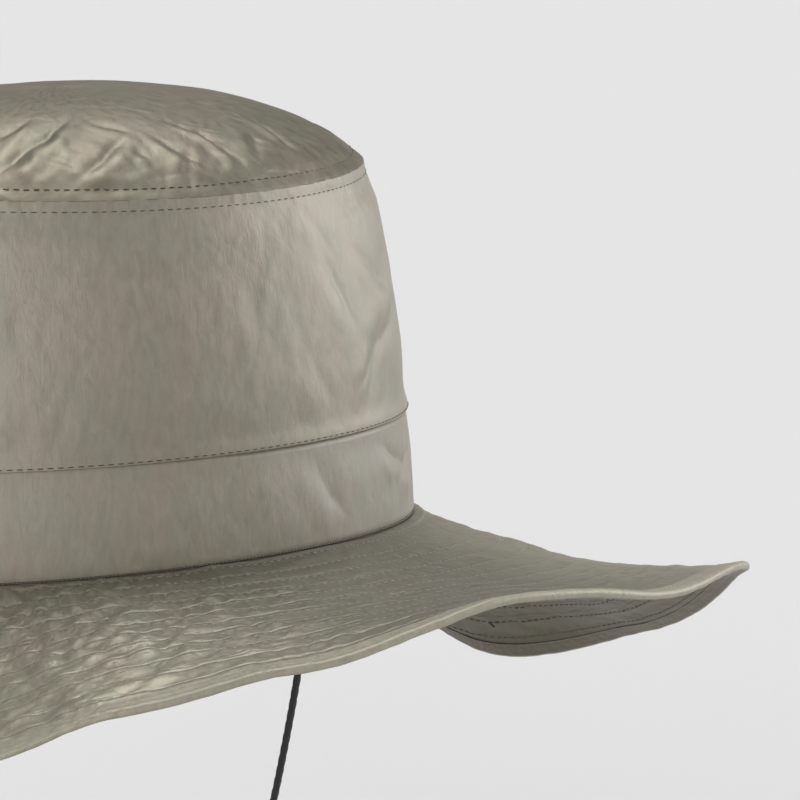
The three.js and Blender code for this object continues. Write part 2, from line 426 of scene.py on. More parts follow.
def side_relief(azimuth, share):
    """How far the crown's side panel stands out: broad dents, upright streaks and a lapped lower edge."""
    size = sizes()
    up = share * size.crown_height
    points = wall_form(azimuth, share)
    dents = 0.9 * MM * soft_noise(points, 42 * MM, 1, 2)
    wander = azimuth + 0.03 * soft_noise(points, 30 * MM, 2, 2)
    flecks = soft_noise(leaning(wander, up, -0.25, 2.4, size.half_width), 3.8 * MM, 3, 2)
    ruffled = np.clip(0.55 + 0.9 * soft_noise(points, 30 * MM, 4, 2), 0.15, 1.2)
    streaks = 0.32 * MM * flecks * ruffled
    folds = folded(azimuth, up, SIDE_FOLDS, size.half_width)
    above_band = up - size.band_height
    below_tip = size.crown_height - up
    free = (1 - near(above_band, 4 * MM)) * (1 - near(below_tip, 4 * MM))
    lap = 0.6 * MM * near(above_band, 3 * MM)
    pucker = 0.32 * MM * np.abs(soft_noise(leaning(azimuth, up, 0.2, 2, size.half_width), 3.5 * MM, 5, 2))
    seam = pucker * near(below_tip, 7 * MM) - 0.35 * MM * near(below_tip, 0.8 * MM)
    row = -0.16 * MM * near(below_tip - TIP_ROW, 1.2 * MM)
    return (dents + streaks + folds) * free + lap + seam + row


def band_relief(azimuth, share):
    """How far the crown's band stands out."""
    size = sizes()
    up = share * size.crown_height
    points = wall_form(azimuth, share)
    streaks = 0.22 * MM * soft_noise(leaning(azimuth, up, 0.1, 4, size.half_width), 7 * MM, 6)
    dents = 0.8 * MM * soft_noise(points, 38 * MM, 7, 2)
    free = (1 - near(up, 4 * MM)) * (1 - near(size.band_height - up, 5 * MM))
    folds = folded(azimuth, up, BAND_FOLDS, size.half_width)
    gape = 0.5 * MM + 0.9 * MM * np.clip((mirrored(azimuth) - 62) / 25, 0, 1)
    under_lap = np.clip((up - size.band_height + gape) / (0.6 * MM), 0, 1)
    return (streaks + dents + folds) * free - 1.15 * MM * under_lap - 0.6 * MM * near(up, 0.8 * MM)


def tip_relief(azimuth, reach):
    """How far the tip stands out: creases that run in from the seam and a quiet middle."""
    radius = sizes().half_width * CROWN_PROFILE[-1][1]
    inwards = (1 - reach) * radius
    points = tip_form(azimuth, reach)
    swell = 0.8 * MM * soft_noise(points, 45 * MM, 8, 2)
    reach_in = near(inwards - 9 * MM, 12 * MM)
    creases = np.maximum(
        creased_noise(leaning(azimuth, inwards, 0.7, 2.6, radius), 11 * MM, 9, 2),
        creased_noise(leaning(azimuth, inwards, -0.7, 2.6, radius), 11 * MM, 10, 2),
    )
    folds = folded(azimuth, inwards, TIP_FOLDS, radius)
    fine = 0.16 * MM * soft_noise(points, 6 * MM, 11)
    edge = -0.35 * MM * near(inwards, 0.8 * MM) - 0.16 * MM * near(inwards - TIP_ROW, 1.2 * MM)
    pucker = 0.34 * MM * np.abs(soft_noise(leaning(azimuth, inwards, 0, 2, radius), 3.5 * MM, 12, 2))
    free = 1 - near(inwards, 2.5 * MM)
    rough = fine * (0.4 + reach_in) + 0.6 * MM * creases * reach_in
    return (swell + rough + folds) * free + edge + pucker * near(inwards, 6 * MM)


def cells(azimuth, across, size, lean, radius, seed):
    """Soft cells, 0 to 1, between two families of narrow valleys that lean to either side."""
    valley = 0.55
    height = 0
    for side in (1, -1):
        swell = soft_noise(leaning(azimuth, across, side * lean, 1.5, radius), size, seed + side, 1)
        off = np.clip(np.abs(swell) / valley, 0, 1)
        height = height + off * off * (3 - 2 * off) / 2
    return height


def brim_relief(azimuth, along):
    """How far the brim's cloth puffs up between its stitch rows, with soft crossing cells at the front."""
    size = sizes()
    phase = (along - FIRST_ROW) / size.row_spacing
    between = np.abs(np.sin(math.pi * phase))
    points = brim_form(azimuth, along)
    radius = size.half_width + 0.6 * size.brim_width
    degrees = mirrored(azimuth)
    at_front = np.clip((84 - degrees) / 26, 0, 1)
    at_back = np.clip((degrees - 150) / 20, 0, 1)
    ruffled = 0.14 + 0.86 * at_front + 0.3 * at_back
    patches = np.clip(0.9 + 0.5 * soft_noise(points, 30 * MM, 15, 2), 0.5, 1.3)
    puckers = 1.7 * MM * cells(azimuth, along, 6.5 * MM, 0.62, radius, 13) * patches * ruffled
    streaks = 0.4 * MM * soft_noise(leaning(azimuth, along, 0, 0.3, radius), 14 * MM, 18, 2)
    swell = 0.8 * MM * soft_noise(points, 32 * MM, 16, 2)
    puff = 0.14 * MM * between**0.8
    start = size.brim_width - size.tape_leg
    free = np.clip(along / (3 * MM), 0, 1) * np.clip((start - along) / (3 * MM), 0, 1)
    strip = 0.6 * MM * near(along - 2 * MM, 1.3 * MM)
    return (puff + puckers + streaks * (0.4 + 0.6 * between) + swell) * free + strip


# The tape and the cord


def tape_form(azimuth, across):
    """The outer face of the edge tape: over the top leg, round the rim and back under the brim."""
    size = sizes()
    start = size.brim_width - size.tape_leg
    bend = size.brim_cloth / 2 + size.tape_cloth + TAPE_GAP
    way = across * tape_length()
    turn = np.clip((way - size.tape_leg) / bend, 0, math.pi)
    along = np.where(turn < math.pi, start + np.minimum(way, size.tape_leg), size.brim_width)
    back = np.maximum(way - size.tape_leg - math.pi * bend, 0)
    along = along + bend * np.sin(turn) - back
    return brim_form(azimuth, along, size.brim_cloth / 2 - bend * np.cos(turn))


def tape_length():
    size = sizes()
    return 2 * size.tape_leg + math.pi * (size.brim_cloth / 2 + size.tape_cloth + TAPE_GAP)


def tape_relief(azimuth, across):
    """The tape is pulled down along its two rows of stitches and puckers a little."""
    size = sizes()
    way = across * tape_length()
    from_edge = np.minimum(way, tape_length() - way)
    rows = sum(near(from_edge - row, 0.5 * MM) for row in TAPE_ROWS)
    points = leaning(azimuth, way, 0.5, 1.6, size.half_width + size.brim_width)
    return 0.16 * MM * np.clip(soft_noise(points, 5 * MM, 17, 2) + 0.5, 0, 1.4) - 0.08 * MM * rows


def cord_route():
    """The whole route of the cord, as points through which it passes."""
    left = [Vector((x, CORD_BACKSET, z)) for x, z in CORD_HALF_ROUTE]
    right = [Vector((-x, CORD_BACKSET, z)) for x, z in CORD_HALF_ROUTE[-2::-1]]
    return left + right


def cord_line(count):
    """Evenly spaced points on the smooth curve through the cord's route."""
    data = bpy.data.curves.new("cord_line", "CURVE")
    data.dimensions = "3D"
    data.resolution_u = 24
    spline = data.splines.new("BEZIER")
    route = cord_route()
    spline.bezier_points.add(len(route) - 1)
    for knot, place in zip(spline.bezier_points, route):
        knot.co = place
        knot.handle_left_type = "AUTO"
        knot.handle_right_type = "AUTO"
    holder = bpy.data.objects.new("cord_line", data)
    bpy.context.collection.objects.link(holder)
    mesh = holder.to_mesh()
    line = np.array([vertex.co[:] for vertex in mesh.vertices])
    bpy.data.objects.remove(holder)
    bpy.data.curves.remove(data)
    way = np.concatenate([[0], np.cumsum(np.linalg.norm(np.diff(line, axis=0), axis=1))])
    even = np.linspace(0, way[-1], count)
    return np.stack([np.interp(even, way, line[:, i]) for i in range(3)], -1), way[-1]


def cord_form(azimuth, across):
    """The cord's round surface at a share of its length."""
    line, length = cord_line(CORD_ROWS + 1)
    way = np.linspace(0, 1, len(line))
    tangent = np.gradient(line, axis=0)
    tangent /= np.linalg.norm(tangent, axis=1, keepdims=True)
    centre = np.stack([np.interp(across, way, line[:, i]) for i in range(3)], -1)
    along = np.stack([np.interp(across, way, tangent[:, i]) for i in range(3)], -1)
    side = np.broadcast_to(np.array([0.0, 1.0, 0.0]), along.shape)
    up = np.cross(along, side)
    radius = sizes().cord_diameter / 2
    return centre + radius * (np.cos(azimuth)[..., None] * side + np.sin(azimuth)[..., None] * up)


def cord_relief(azimuth, across):
    """Two families of strands that cross, as in a round braid."""
    turn = across * 2 * math.pi * cord_line(2)[1] / BRAID_PITCH
    strands = np.maximum(np.cos(4 * azimuth + turn), np.cos(4 * azimuth - turn))
    return 0.09 * MM * (strands - 1)


# The panels: the form of each, its wrinkles, the step that finds its normals and the side that faces out.
PANELS = {
    "tip": (tip_form, tip_relief, 0.002, -1),
    "side": (wall_form, side_relief, 0.002, 1),
    "band": (wall_form, band_relief, 0.002, 1),
    "brim": (brim_form, brim_relief, 0.2 * MM, -1),
    "tape": (tape_form, tape_relief, 0.004, -1),
    "cord": (cord_form, cord_relief, 0.0005, 1),
}
# The turn that finds a panel's normals, in radians.
NORMAL_TURN = 0.002


def surface(panel, azimuth, across):
    """Points on a panel's wrinkled cloth, and the normals of its form."""
    form, relief, step, facing = PANELS[panel]
    here = form(azimuth, across)
    around = form(azimuth + NORMAL_TURN, across) - form(azimuth - NORMAL_TURN, across)
    forward = form(azimuth, across + step) - form(azimuth, across - step)
    normals = facing * np.cross(around, forward)
    lengths = np.linalg.norm(normals, axis=-1, keepdims=True)
    flat = lengths < 1e-12
    normals = np.where(flat, [0.0, 0.0, 1.0], normals / np.where(flat, 1, lengths))
    return here + normals * relief(azimuth, across)[..., None], normals


# Modelling


def deselect():
    if bpy.context.object and bpy.context.object.mode != "OBJECT":
        bpy.ops.object.mode_set(mode="OBJECT")
    bpy.ops.object.select_all(action="DESELECT")


def choose(piece):
    deselect()
    piece.select_set(True)
    bpy.context.view_layer.objects.active = piece


def sleeve(name, around, rows, cuts):
    """A straight sleeve of radius 1 and height 1: a ring that is extruded row by row and then divided."""
    deselect()
    bpy.ops.mesh.primitive_circle_add(vertices=around, radius=1)
    piece = bpy.context.object
    piece.name = name
    piece.data.name = name
    bpy.ops.object.mode_set(mode="EDIT")
    bpy.ops.mesh.select_all(action="SELECT")
    for _ in range(rows):
        bpy.ops.mesh.extrude_region_move(TRANSFORM_OT_translate={"value": (0, 0, 1 / rows)})
    bpy.ops.mesh.select_all(action="SELECT")
    if cuts:
        bpy.ops.mesh.subdivide(number_cuts=cuts)
    bpy.ops.object.mode_set(mode="OBJECT")
    return piece


def draped(name, panel, start, end, around, rows, cuts):
    """A sleeve laid on a panel's form between two places across it, with its wrinkles and a cloth map."""
    piece = sleeve(name, around, rows, cuts)
    mesh = piece.data
    spots = np.empty(len(mesh.vertices) * 3)
    mesh.vertices.foreach_get("co", spots)
    spots = spots.reshape(-1, 3)
    azimuth = np.arctan2(spots[:, 0], -spots[:, 1])
    across = start + (end - start) * np.clip(spots[:, 2], 0, 1)
    points, normals = surface(panel, azimuth, across)
    mesh.vertices.foreach_set("co", points.ravel())
    mesh.update()
    map_cloth(mesh, azimuth, across, points)
    face_out(piece, normals)
    return piece


def map_cloth(mesh, azimuth, across, points):
    """A map in metres: round the head, and along the cloth."""
    corners = np.empty(len(mesh.loops), int)
    mesh.loops.foreach_get("vertex_index", corners)
    starts = np.empty(len(mesh.polygons), int)
    mesh.polygons.foreach_get("loop_start", starts)
    face = np.repeat(np.arange(len(starts)), np.diff(np.append(starts, len(corners))))
    turn = azimuth[corners]
    high = np.maximum.reduceat(turn, starts)
    wraps = (high - np.minimum.reduceat(turn, starts)) > math.pi
    turn = np.where(wraps[face] & (turn < 0), turn + 2 * math.pi, turn)
    radius = np.mean(np.linalg.norm(points[:, :2], axis=1))
    way = (across - across.min()) / max(np.ptp(across), 1e-9)
    edge = np.abs(azimuth) < 0.02
    places, first = np.unique(np.round(way[edge], 6), return_index=True)
    line = points[edge][first]
    run = np.concatenate([[0], np.cumsum(np.linalg.norm(np.diff(line, axis=0), axis=1))])
    spots = np.stack([turn * radius, np.interp(way[corners], places, run)], -1)
    mesh.uv_layers.new(name="cloth").data.foreach_set("uv", spots.ravel())


def face_out(piece, normals):
    """Turns the faces over if they point against the given normals of the vertices."""
    mesh = piece.data
    first = np.array([polygon.vertices[0] for polygon in mesh.polygons])
    facing = np.empty(len(mesh.polygons) * 3)
    mesh.polygons.foreach_get("normal", facing)
    if np.sum(facing.reshape(-1, 3) * normals[first]) < 0:
        choose(piece)
        bpy.ops.object.mode_set(mode="EDIT")
        bpy.ops.mesh.select_all(action="SELECT")
        bpy.ops.mesh.flip_normals()
        bpy.ops.object.mode_set(mode="OBJECT")


def thicken(piece, thickness, *materials):
    """Gives a sheet its cloth's thickness, inwards from its outer face. Each inner face takes the material
    after that of its outer face."""
    choose(piece)
    for material in materials:
        piece.data.materials.append(material)
    wall = piece.modifiers.new("wall", "SOLIDIFY")
    wall.thickness = thickness
    wall.offset = -1
    wall.material_offset = 1
    bpy.ops.object.modifier_apply(modifier=wall.name)


def finish_piece(piece, slot, *nodes):
    """Smooths a piece and hands it to the frame."""
    choose(piece)
    bpy.ops.object.shade_smooth_by_angle(angle=math.radians(60))
    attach(piece, BODY)
    if nodes:
        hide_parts(*nodes)
    return piece


def one_stitch(length, thickness):
    """The vertices and faces of one stitch: a small ball drawn out along X."""
    deselect()
    bpy.ops.mesh.primitive_uv_sphere_add(segments=5, ring_count=3, radius=0.5)
    model = bpy.context.object
    bpy.ops.object.mode_set(mode="EDIT")
    bpy.ops.mesh.select_all(action="SELECT")
    bpy.ops.transform.rotate(value=math.pi / 2, orient_axis="Y", center_override=(0, 0, 0))
    bpy.ops.transform.resize(value=(length, thickness, thickness), center_override=(0, 0, 0))
    bpy.ops.object.mode_set(mode="OBJECT")
    vertices = np.array([vertex.co[:] for vertex in model.data.vertices])
    faces = [list(polygon.vertices) for polygon in model.data.polygons]
    bpy.data.objects.remove(model)
    return vertices, faces


def stitched(name, stitch, places):
    """A piece with one stitch at each place, which gives its centre and its three directions."""
    vertices, faces = stitch
    all_points = []
    all_faces = []
    for centre, *directions in places:
        start = len(all_points)
        all_points.extend(centre + vertices @ np.array(directions))
        all_faces.extend([start + corner for corner in face] for face in faces)
    mesh = bpy.data.meshes.new(name)
    mesh.from_pydata(all_points, [], all_faces)
    piece = bpy.data.objects.new(name, mesh)
    bpy.context.collection.objects.link(piece)
    return piece


def sewn(name, panel, rows, depth=0.0, heavy=1.0, lift=-0.15):
    """Stitches along rows at the given places across a panel, or on its far face at a depth. Heavy stitches
    are thicker and closer. Each is lifted off the cloth by a share of its thickness."""
    size = sizes()
    pitch = size.stitch_length / heavy
    stitch = one_stitch(pitch * (0.7 if heavy == 1 else 1.5), size.thread * heavy)
    places = []
    fine = np.linspace(0, 2 * math.pi, 721)
    for row in rows:
        line = PANELS[panel][0](fine, np.full_like(fine, row))
        way = np.concatenate([[0], np.cumsum(np.linalg.norm(np.diff(line, axis=0), axis=1))])
        count = round(way[-1] / pitch)
        azimuth = np.interp(np.arange(count) / count * way[-1], way, fine)
        points, normals = surface(panel, azimuth, np.full_like(azimuth, row))
        points = points + normals * lift * size.thread
        tangent = np.roll(points, -1, 0) - np.roll(points, 1, 0)
        tangent /= np.linalg.norm(tangent, axis=1, keepdims=True)
        sides = np.cross(normals, tangent)
        places.extend(zip(points - normals * depth, tangent, sides, normals))
    return stitched(name, stitch, places)


def bar_tack(name, centre, along, side, normal, length, width):
    """A short bar of close stitches that lie side by side across its length."""
    thread = sizes().thread
    count = round(length / thread)
    shares = (np.arange(count) + 0.5) / count - 0.5
    places = [(centre + along * length * share, side, along, normal) for share in shares]
    return stitched(name, one_stitch(width, thread * TACK_THREAD), places)


def back_tack():
    """Where the tack under the back of the brim sits: its centre, its three directions and its size."""
    degrees, place, length, width = BACK_TACK
    azimuth = np.array([math.radians(degrees)])
    across = np.array([place])
    points, normals = surface("brim", azimuth, across)
    inner = surface("brim", azimuth, across - 2 * MM)[0]
    along = (points[0] - inner[0]) / np.linalg.norm(points[0] - inner[0])
    down = -normals[0]
    centre = points[0] + down * (sizes().brim_cloth + 0.1 * MM)
    return centre, along, np.cross(along, down), down, length, width


def cord_tack(side):
    """Where an end of the cord is sewn to the inside of the band."""
    x, z = CORD_HALF_ROUTE[0]
    drop, length, width = CORD_TACK
    outwards = np.array([side, 0.0, 0.0])
    centre = np.array([side * x, CORD_BACKSET, z - drop]) - outwards * 0.75 * sizes().cord_diameter / 2
    return centre, np.array([0.0, 0.0, 1.0]), np.array([0.0, 1.0, 0.0]), outwards, length, width


# Materials


def add(tree, kind, inputs=None, **settings):
    """Adds a node with its settings. An input is a value, or a socket that is linked to it."""
    node = tree.nodes.new(kind)
    for key, value in settings.items():
        setattr(node, key, value)
    for key, value in (inputs or {}).items():
        if isinstance(value, bpy.types.NodeSocket):
            tree.links.new(value, node.inputs[key])
        else:
            node.inputs[key].default_value = value
    return node


def new_material(name):
    material = bpy.data.materials.new(name)
    material.use_nodes = True
    material.node_tree.nodes.clear()
    return material, material.node_tree


def shaded(tree, low, high, by):
    """A colour between two, by a socket from 0 to 1."""
    mix = add(tree, "ShaderNodeMix", data_type="RGBA")
    tree.links.new(by, mix.inputs[0])
    mix.inputs[6].default_value = [*low, 1]
    mix.inputs[7].default_value = [*high, 1]
    return mix.outputs[2]


def darker(colour, share):
    return [channel * share for channel in colour]


def reckoned(tree, operation, *values):
    """The result of a sum or the like on values and sockets."""
    return add(tree, "ShaderNodeMath", dict(enumerate(values)), operation=operation).outputs[0]


def ranged(tree, value, low, high, to_low=0.0, to_high=1.0, ease="LINEAR"):
    """Takes a value from between low and high to between two others, and no further."""
    ends = {"Value": value, "From Min": low, "From Max": high, "To Min": to_low, "To Max": to_high}
    return add(tree, "ShaderNodeMapRange", ends, interpolation_type=ease).outputs[0]


def blotches(tree, place, size, detail=2.0, roughness=0.5, distortion=0.0):
    """Noise of the given size, 0 to 1."""
    grain = {"Scale": 1 / size, "Detail": detail, "Roughness": roughness, "Distortion": distortion}
    return add(tree, "ShaderNodeTexNoise", {"Vector": place, **grain}).outputs["Fac"]


def scaled(tree, colour, share):
    return add(tree, "ShaderNodeVectorMath", {0: colour, "Scale": share}, operation="SCALE").outputs[0]


def bumped(tree, height, distance, strength=1.0, **over):
    """The normal of a surface with heights on it, over that of another one when it is given."""
    heights = {"Height": height, "Strength": strength, "Distance": distance}
    return add(tree, "ShaderNodeBump", heights | over).outputs[0]


def finish_material(tree, inputs):
    """Ends a material with its shader."""
    shader = add(tree, "ShaderNodeBsdfPrincipled", inputs)
    add(tree, "ShaderNodeOutputMaterial", {"Surface": shader.outputs[0]})


def pillows(tree, cloth, size, lean, stretch):
    """Soft cells of the given size between narrow valleys that lean to one side along the cloth."""
    turned = add(tree, "ShaderNodeMapping", {"Vector": cloth, "Rotation": (0, 0, lean)}).outputs[0]
    shares = (1 / (size * stretch), 1 / size, 1)
    drawn = add(tree, "ShaderNodeMapping", {"Vector": turned, "Scale": shares}).outputs[0]
    swells = blotches(tree, drawn, 1.0, detail=0.8, distortion=0.3)
    off = reckoned(tree, "ABSOLUTE", reckoned(tree, "SUBTRACT", swells, 0.5))
    return ranged(tree, off, 0.0, 0.2, ease="SMOOTHSTEP")


def stitched_rows(tree, cloth):
    """0 along the brim's stitch rows, rising to 1 a little way off."""
    size = sizes()
    along = add(tree, "ShaderNodeSeparateXYZ", {"Vector": cloth}).outputs["Y"]
    past = reckoned(tree, "SUBTRACT", along, FIRST_ROW + size.crown_cloth)
    off = reckoned(tree, "PINGPONG", past, size.row_spacing / 2)
    return ranged(tree, off, 0.0, 0.9 * MM, ease="SMOOTHSTEP")


def nylon(name, colour, pucker_size, pucker_height, gleam=0.4, row_depth=0.0, painted_sheen=0.0):
    """Taslan nylon, plain-woven from textured yarn and calendered: its flattened yarns throw the light back
    like dull metal, so each fold turns from light to dark, and the fine crinkle breaks the sheen up. Gleam
    is how metallic it looks, row_depth how deep the brim's rows of stitches sink it, and the last argument
    how much paler it is drawn at front and back, as painted sheen."""
    material, tree = new_material(name)
    cloth = add(tree, "ShaderNodeUVMap", uv_map="cloth").outputs["UV"]
    place = add(tree, "ShaderNodeTexCoord").outputs["Object"]
    weave = {"Vector": cloth, "Scale": WAVE_TURN / YARN, "Distortion": 0.6, "Detail": 1.0}
    warp = add(tree, "ShaderNodeTexWave", weave, bands_direction="X").outputs["Fac"]
    weft = add(tree, "ShaderNodeTexWave", weave, bands_direction="Y").outputs["Fac"]
    yarns = reckoned(tree, "MAXIMUM", warp, weft)
    upright = add(tree, "ShaderNodeMapping", {"Vector": cloth, "Scale": (1, 0.35, 1)}).outputs[0]
    crinkle = blotches(tree, upright, 1.7 * MM, detail=4.0, roughness=0.6, distortion=0.6)
    one_way = pillows(tree, cloth, pucker_size, 1.0, 1.8)
    other_way = pillows(tree, cloth, pucker_size, -1.0, 1.8)
    puckers = reckoned(tree, "ADD", one_way, other_way)
    patches = blotches(tree, place, 38 * MM, detail=3.0)
    ruffled = ranged(tree, patches, 0.35, 0.6, 0.35, 1.0)
    mottle = blotches(tree, upright, 9 * MM, detail=3.0, roughness=0.6)
    dyed = ranged(tree, mottle, 0.35, 0.65)
    red, green, blue = colour
    olive = [0.96 * red, 1.01 * green, 0.96 * blue]
    pinkish = [1.03 * red, 0.99 * green, 0.97 * blue]
    tint = scaled(tree, shaded(tree, olive, pinkish, dyed), ranged(tree, patches, 0.0, 1.0, 0.92, 1.07))
    # Partly painted shade: the crinkle makes the colour darker in its hollows and lighter on its crests, on
    # top of the cloth's mottled tone.
    base = scaled(tree, tint, ranged(tree, crinkle, 0.3, 0.7, 0.88, 1.1))
    # Painted sheen: the colour is drawn paler towards the front and the back.
    if painted_sheen:
        forward = add(tree, "ShaderNodeSeparateXYZ", {"Vector": place}).outputs["Y"]
        painted_sheen_scale = ranged(tree, reckoned(tree, "ABSOLUTE", forward), 0.03, 0.1, 1.0, 1 + painted_sheen)
        base = scaled(tree, base, painted_sheen_scale)
    gloss = ranged(tree, crinkle, 0.3, 0.7, 0.43, 0.55)
    fine = bumped(tree, yarns, 0.05 * MM, 0.12)
    streaky = bumped(tree, crinkle, 0.15 * MM, ruffled, Normal=fine)
    bump = bumped(tree, puckers, pucker_height, ruffled, Normal=streaky)
    if row_depth:
        bump = bumped(tree, stitched_rows(tree, cloth), row_depth, Normal=bump)
    look = {"Base Color": base, "Roughness": gloss, "Metallic": gleam, "IOR": 1.53, "Normal": bump}
    finish_material(tree, look)
    return material


def spun_thread(name, colour):
    """Polyester sewing thread, spun and twisted: it gives a fine, slightly shiny line of short dashes."""
    material, tree = new_material(name)
    place = add(tree, "ShaderNodeTexCoord").outputs["Object"]
    fuzz = blotches(tree, place, 0.5 * MM)
    base = shaded(tree, darker(colour, 0.8), darker(colour, 1.15), fuzz)
    bump = bumped(tree, fuzz, 0.05 * MM, 0.5)
    finish_material(tree, {"Base Color": base, "Roughness": 0.55, "IOR": 1.55, "Normal": bump})
    return material


def braid(name, colour):
    """Round polyester braid, dyed in the yarn: near black, with a dull gleam on each crossing strand."""
    material, tree = new_material(name)
    place = add(tree, "ShaderNodeTexCoord").outputs["Object"]
    yarn = blotches(tree, place, 0.4 * MM, detail=3.0)
    base = shaded(tree, darker(colour, 0.7), darker(colour, 1.5), yarn)
    bump = bumped(tree, yarn, 0.08 * MM, 0.6)
    look = {"Base Color": base, "Roughness": 0.6, "IOR": 1.55, "Sheen Weight": 0.15, "Normal": bump}
    finish_material(tree, look)
    return material


def painted_floor(name, colour):
    """A matt painted studio floor: even and pale, with a grain too faint to draw the eye."""
    material, tree = new_material(name)
    place = add(tree, "ShaderNodeTexCoord").outputs["Object"]
    grain = blotches(tree, place, 1 / 3)
    base = shaded(tree, darker(colour, 0.99), darker(colour, 1.01), grain)
    finish_material(tree, {"Base Color": base, "Roughness": 0.9, "Specular IOR Level": 0.1})
    return material


# The stage and the operators


def heading(azimuth, elevation):
    """The direction toward an azimuth and an elevation in degrees."""
    turn = math.radians(azimuth)
    rise = math.radians(elevation)
    return Vector((math.sin(turn) * math.cos(rise), -math.cos(turn) * math.cos(rise), math.sin(rise)))


def put(name, data, facing):
    """Adds a camera or a lamp that looks back from the given direction."""
    thing = bpy.data.objects.new(name, data)
    bpy.context.scene.collection.objects.link(thing)
    thing.rotation_mode = "QUATERNION"
    thing.rotation_quaternion = facing.to_track_quat("Z", "Y")
    return thing


def set_camera():
    data = bpy.data.cameras.new("camera")
    data.sensor_width = SENSOR
    data.lens = FOCAL_PIXELS / IMAGE_SIDE * SENSOR
    data.clip_start = 0.05
    data.clip_end = 60
    back = heading(CAMERA_AZIMUTH, CAMERA_ELEVATION)
    turn = math.radians(CAMERA_AZIMUTH)
    right = Vector((math.cos(turn), math.sin(turn), 0))
    target = right * AIM_RIGHT + back.cross(right) * AIM_UP
    camera = put("camera", data, back)
    camera.location = target + back * CAMERA_DISTANCE
    bpy.context.scene.camera = camera


def lay_floor():
    deselect()
    middle = (0, 0, FLOOR_HEIGHT)
    bpy.ops.mesh.primitive_circle_add(vertices=96, radius=FLOOR_RADIUS, location=middle, fill_type="NGON")
    floor = bpy.context.object
    floor.name = "studio_floor"
    bpy.ops.object.transform_apply(location=True, rotation=True, scale=True)
    floor.data.materials.append(painted_floor("painted floor", colours().floor))


def set_lights():
    for name, azimuth, elevation, spread, strength in LIGHTS:
        light = bpy.data.lights.new(name, "SUN")
        light.angle = math.radians(spread)
        light.energy = strength
        put(name, light, heading(azimuth, elevation))


def paint_studio():
    """A world that is bright at the horizon and overhead, and dim between."""
    world = bpy.data.worlds.new("studio")
    world.use_nodes = True
    tree = world.node_tree
    tree.nodes.clear()
    direction = add(tree, "ShaderNodeTexCoord").outputs["Generated"]
    height = add(tree, "ShaderNodeSeparateXYZ", {"Vector": direction}).outputs["Z"]
    ramp = add(tree, "ShaderNodeValToRGB", {"Fac": height})
    stops = ramp.color_ramp.elements
    for place, _ in SKY[1:-1]:
        stops.new(place)
    for stop, (place, grey) in zip(stops, SKY):
        stop.position = place
        stop.color = (grey, grey, grey, 1)
    sky = add(tree, "ShaderNodeBackground", {"Color": ramp.outputs["Color"]})
    add(tree, "ShaderNodeOutputWorld", {"Surface": sky.outputs[0]})
    bpy.context.scene.world = world


class HAT_OT_stage(bpy.types.Operator):
    """Sets the camera at the photograph's angle, a pale floor and soft studio light"""

    bl_idname = "hat.stage"
    bl_label = "Set the stage"

    def execute(self, context):
        set_camera()
        lay_floor()
        set_lights()
        paint_studio()
        context.scene.view_settings.view_transform = "Standard"
        return {"FINISHED"}


class HAT_OT_cord(bpy.types.Operator):
    """Braids the chin cord along its route"""

    bl_idname = "hat.cord"
    bl_label = "Hang the chin cord"

    def execute(self, context):
        piece = draped("chin_cord_braid", "cord", 0, 1, around=24, rows=CORD_ROWS, cuts=0)
        choose(piece)
        bpy.ops.object.mode_set(mode="EDIT")
        bpy.ops.mesh.select_all(action="SELECT")
        bpy.ops.mesh.fill_holes(sides=24)
        bpy.ops.object.mode_set(mode="OBJECT")
        piece.data.materials.append(braid("braided polyester cord", colours().cord))
        finish_piece(piece, "cord", "chin_cord")
        line, length = cord_line(120)
        return {"FINISHED"}


class HAT_OT_crown(bpy.types.Operator):
    """Sews the tip, the side and the band of the crown"""

    bl_idname = "hat.crown"
    bl_label = "Sew the crown"

    def execute(self, context):
        size = sizes()
        face = {"pucker_size": 7 * MM, "pucker_height": 0.04 * MM}
        cloth = nylon("crinkled taslan nylon", colours().crown, gleam=0.22, **face)
        band_cloth = nylon("pressed taslan nylon", colours().crown, gleam=0.02, **face)
        # The tip's cloth carries painted shade: the crown's nylon in a darker colour.
        tip_cloth_in_painted_shade = nylon("creased taslan nylon in painted shade", colours().tip, 7 * MM, 0.1 * MM, gleam=0.7)
        lap = BAND_LAP / size.crown_height
        sunk = SEAM_SUNK / size.crown_height
        band_top = size.band_height / size.crown_height
        tip = draped("crown_tip_cloth", "tip", 0, 1, around=140, rows=17, cuts=3)
        choose(tip)
        bpy.ops.object.mode_set(mode="EDIT")
        bpy.ops.mesh.select_all(action="SELECT")
        bpy.ops.mesh.remove_doubles(threshold=0.01 * MM)
        bpy.ops.object.mode_set(mode="OBJECT")
        side = draped("crown_side_cloth", "side", band_top - 2 * sunk, 1, around=150, rows=15, cuts=3)
        band = draped("crown_band_cloth", "band", -sunk, band_top + lap, around=150, rows=10, cuts=3)
        for piece, outer, node in (
            (tip, tip_cloth_in_painted_shade, "crown_tip"),
            (side, cloth, "crown_side"),
            (band, band_cloth, "crown_band"),
        ):
            thicken(piece, size.crown_cloth, outer, cloth)
            finish_piece(piece, "crown_cloth", node)
        return {"FINISHED"}


